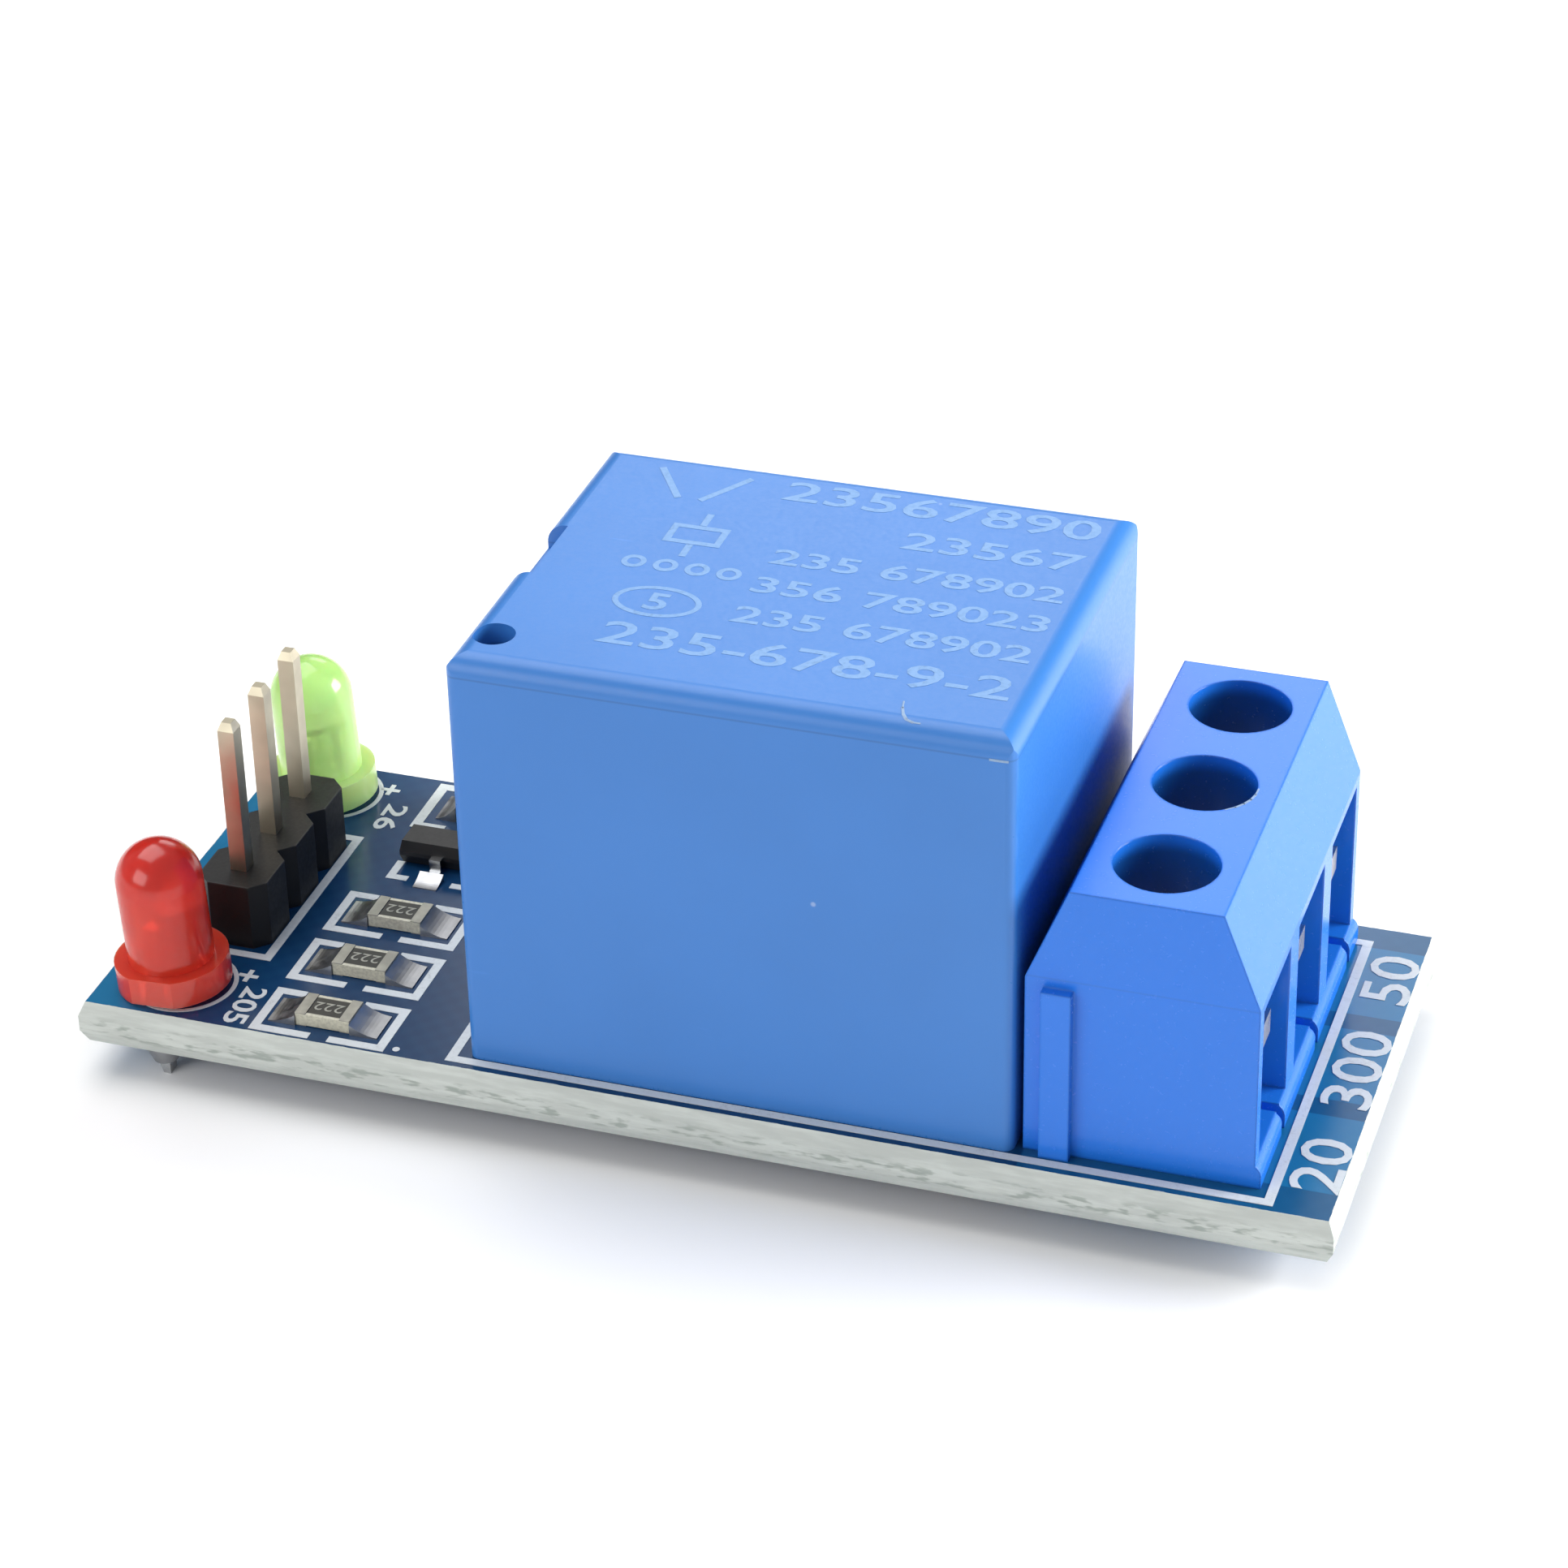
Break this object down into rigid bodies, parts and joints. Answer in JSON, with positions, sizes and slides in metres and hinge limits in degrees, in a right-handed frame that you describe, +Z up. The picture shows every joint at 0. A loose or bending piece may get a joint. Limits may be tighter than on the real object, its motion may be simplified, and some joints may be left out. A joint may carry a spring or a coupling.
{
  "type": "relay module board",
  "caption": "Narrow printed board carrying a sealed power relay, a screw terminal block, a pin header, indicator lamps and small surface parts.",
  "frame": {"origin": "under the middle of the board, level with the tips of the soldered tails that it stands on", "axes": "+X along the board from the header and lamps to the terminal block, +Y from the near long edge to the far one, +Z up out of the component side"},
  "size_m": [0.0438, 0.0174, 0.0182],
  "materials": {
    "board": "solder mask over glass-epoxy board, semi-gloss",
    "solder": "bright reflowed solder",
    "relay_blue": "satin moulded plastic",
    "base_blue": "moulded plastic with sealing resin",
    "iron": "plated soft iron",
    "bobbin_white": "natural nylon",
    "enamelled_copper": "enamelled copper wire",
    "spring_bronze": "bronze strip",
    "contact_silver": "silver alloy",
    "tinned": "tinned copper",
    "terminal_blue": "smooth moulded plastic",
    "screw_steel": "zinc-plated steel",
    "cage_nickel": "nickel-plated brass",
    "header_black": "moulded plastic",
    "pin_champagne": "pale plated square pins",
    "lens_red": "tinted translucent epoxy",
    "lens_green": "tinted translucent epoxy",
    "chip_dark": "glazed film on ceramic",
    "chip_ends": "tinned ends",
    "moulding_black": "moulding compound"
  },
  "bodies": {
    "board": {"pcb": "board", "solder_joints": "solder", "chip_solder": "solder", "relay_case": "relay_blue", "relay_base": "base_blue", "yoke": "iron", "core": "iron", "bobbin": "bobbin_white", "winding": "enamelled_copper", "return_spring": "spring_bronze", "common_pin": "tinned", "coil_pins": "tinned", "no_strip": "spring_bronze", "no_contact": "contact_silver", "nc_strip": "spring_bronze", "nc_contact": "contact_silver", "terminal_housing": "terminal_blue", "current_bar_1": "cage_nickel", "current_bar_2": "cage_nickel", "current_bar_3": "cage_nickel", "header_body": "header_black", "header_pin_1": "pin_champagne", "header_pin_2": "pin_champagne", "header_pin_3": "pin_champagne", "red_lens": "lens_red", "red_cathode": "tinned", "red_anode": "tinned", "green_lens": "lens_green", "green_cathode": "tinned", "green_anode": "tinned", "resistor_1": "chip_dark", "resistor_2": "chip_dark", "resistor_3": "chip_dark", "resistor_caps_1": "chip_ends", "resistor_caps_2": "chip_ends", "resistor_caps_3": "chip_ends", "transistor": "moulding_black", "transistor_leads": "tinned", "diode": "moulding_black", "diode_leads": "tinned"},
    "armature": {"armature": "iron", "contact_spring": "spring_bronze", "moving_contact": "contact_silver"},
    "screw_1": {"screw_1": "screw_steel"},
    "cage_1": {"clamp_cage_1": "cage_nickel"},
    "screw_2": {"screw_2": "screw_steel"},
    "cage_2": {"clamp_cage_2": "cage_nickel"},
    "screw_3": {"screw_3": "screw_steel"},
    "cage_3": {"clamp_cage_3": "cage_nickel"}
  },
  "joints": [
    {"name": "armature_hinge", "type": "hinge", "parent": "board", "child": "armature", "pos_m": [-0.00587, -0.00014, 0.01373], "axis": [0, 1, 0], "range_deg": [0, 3.2], "stiffness_Nm_per_rad": 0.01, "springref_deg": -5.73},
    {"name": "screw_1_turn", "type": "hinge", "parent": "board", "child": "screw_1", "pos_m": [0.01526, -0.005, 0.0098], "axis": [0, 0, -1], "range_deg": [0, 1080]},
    {"name": "cage_1_lift", "type": "slide", "parent": "board", "child": "cage_1", "axis": [0, 0, 1], "range_m": [0, 0.00135]},
    {"name": "screw_2_turn", "type": "hinge", "parent": "board", "child": "screw_2", "pos_m": [0.01526, 0.00008, 0.0098], "axis": [0, 0, -1], "range_deg": [0, 1080]},
    {"name": "cage_2_lift", "type": "slide", "parent": "board", "child": "cage_2", "axis": [0, 0, 1], "range_m": [0, 0.00135]},
    {"name": "screw_3_turn", "type": "hinge", "parent": "board", "child": "screw_3", "pos_m": [0.01526, 0.00516, 0.0098], "axis": [0, 0, -1], "range_deg": [0, 1080]},
    {"name": "cage_3_lift", "type": "slide", "parent": "board", "child": "cage_3", "axis": [0, 0, 1], "range_m": [0, 0.00135]}
  ],
  "couplings": [
    {"joint": "screw_1_turn", "follows": "cage_1_lift", "rad_per_m": 13963},
    {"joint": "screw_2_turn", "follows": "cage_2_lift", "rad_per_m": 13963},
    {"joint": "screw_3_turn", "follows": "cage_3_lift", "rad_per_m": 13963}
  ]
}
